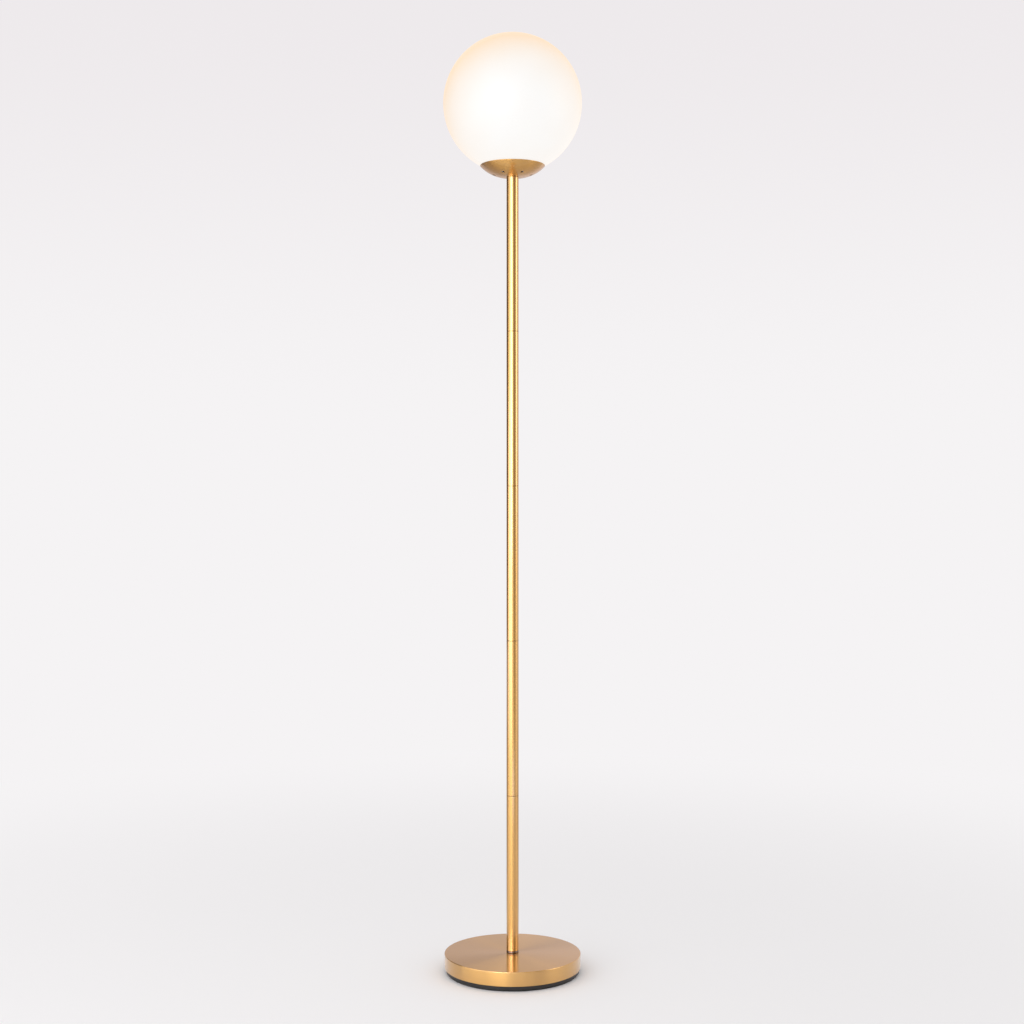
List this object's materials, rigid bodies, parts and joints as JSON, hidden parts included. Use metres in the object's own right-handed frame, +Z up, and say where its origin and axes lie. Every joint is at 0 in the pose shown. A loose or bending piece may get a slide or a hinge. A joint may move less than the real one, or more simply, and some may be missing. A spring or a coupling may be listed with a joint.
{
  "type": "globe floor lamp",
  "caption": "Floor lamp with a weighted round base, a straight screwed pole, a shallow vented cup and an opal glass globe that lifts off to change the bulb.",
  "frame": {"origin": "on the floor, at the centre of the base's underside, under the pole", "axes": "+Z up along the pole; -Y front; +Y rear, where the cord outlet is; +X to the right seen from the front"},
  "size_m": [0.2279, 0.228, 1.5401],
  "materials": {
    "satin_brass": "satin",
    "polished_brass": "polished",
    "turned_brass": "gloss",
    "zinc_steel": "satin",
    "spring_steel": "satin",
    "black_casing": "satin",
    "foam_pad": "matte",
    "cast_iron": "matte",
    "clear_rubber": "satin",
    "opal_glass": "satin",
    "black_phenolic": "gloss",
    "liner_card": "matte",
    "nickel_shell": "satin",
    "white_housing": "satin",
    "opal_dome": "satin",
    "led_board": "satin"
  },
  "bodies": {
    "stand": {"base_casing": "black_casing", "base_cover": "satin_brass", "base_lock_washer": "zinc_steel", "base_nut": "zinc_steel", "base_pad": "foam_pad", "base_rod": "zinc_steel", "base_washer": "zinc_steel", "base_weight": "cast_iron", "centre_contact": "turned_brass", "cord_gland": "black_casing", "cup": "satin_brass", "foot_ring": "polished_brass", "globe_spring": "spring_steel", "head_nut": "zinc_steel", "head_rod": "zinc_steel", "head_washer": "zinc_steel", "holder_block": "black_phenolic", "holder_cap": "black_phenolic", "holder_liner": "liner_card", "holder_sleeve": "nickel_shell", "joint_rod_1": "zinc_steel", "joint_rod_2": "zinc_steel", "joint_rod_3": "zinc_steel", "joint_rod_4": "zinc_steel", "pole_bush_1_lower": "turned_brass", "pole_bush_1_upper": "turned_brass", "pole_bush_2_lower": "turned_brass", "pole_bush_2_upper": "turned_brass", "pole_bush_3_lower": "turned_brass", "pole_bush_3_upper": "turned_brass", "pole_bush_4_lower": "turned_brass", "pole_bush_4_upper": "turned_brass", "pole_bush_5_lower": "turned_brass", "pole_bush_5_upper": "turned_brass", "pole_tube_1": "satin_brass", "pole_tube_2": "satin_brass", "pole_tube_3": "satin_brass", "pole_tube_4": "satin_brass", "pole_tube_5": "satin_brass", "screw_shell": "turned_brass", "seat_ring": "clear_rubber", "terminal_screws": "zinc_steel"},
    "globe": {"globe": "opal_glass"},
    "bulb": {"bulb_tip": "turned_brass", "bulb_insulator": "black_phenolic", "bulb_cap": "nickel_shell", "bulb_housing": "white_housing", "led_plate": "led_board", "bulb_dome": "opal_dome"}
  },
  "joints": [
    {"name": "globe_lift", "type": "slide", "parent": "stand", "child": "globe", "axis": [0, 0, 1], "range_m": [0, 0.165]},
    {"name": "bulb_unscrew", "type": "slide", "parent": "stand", "child": "bulb", "axis": [0, 0, 1], "range_m": [0, 0.03]}
  ]
}
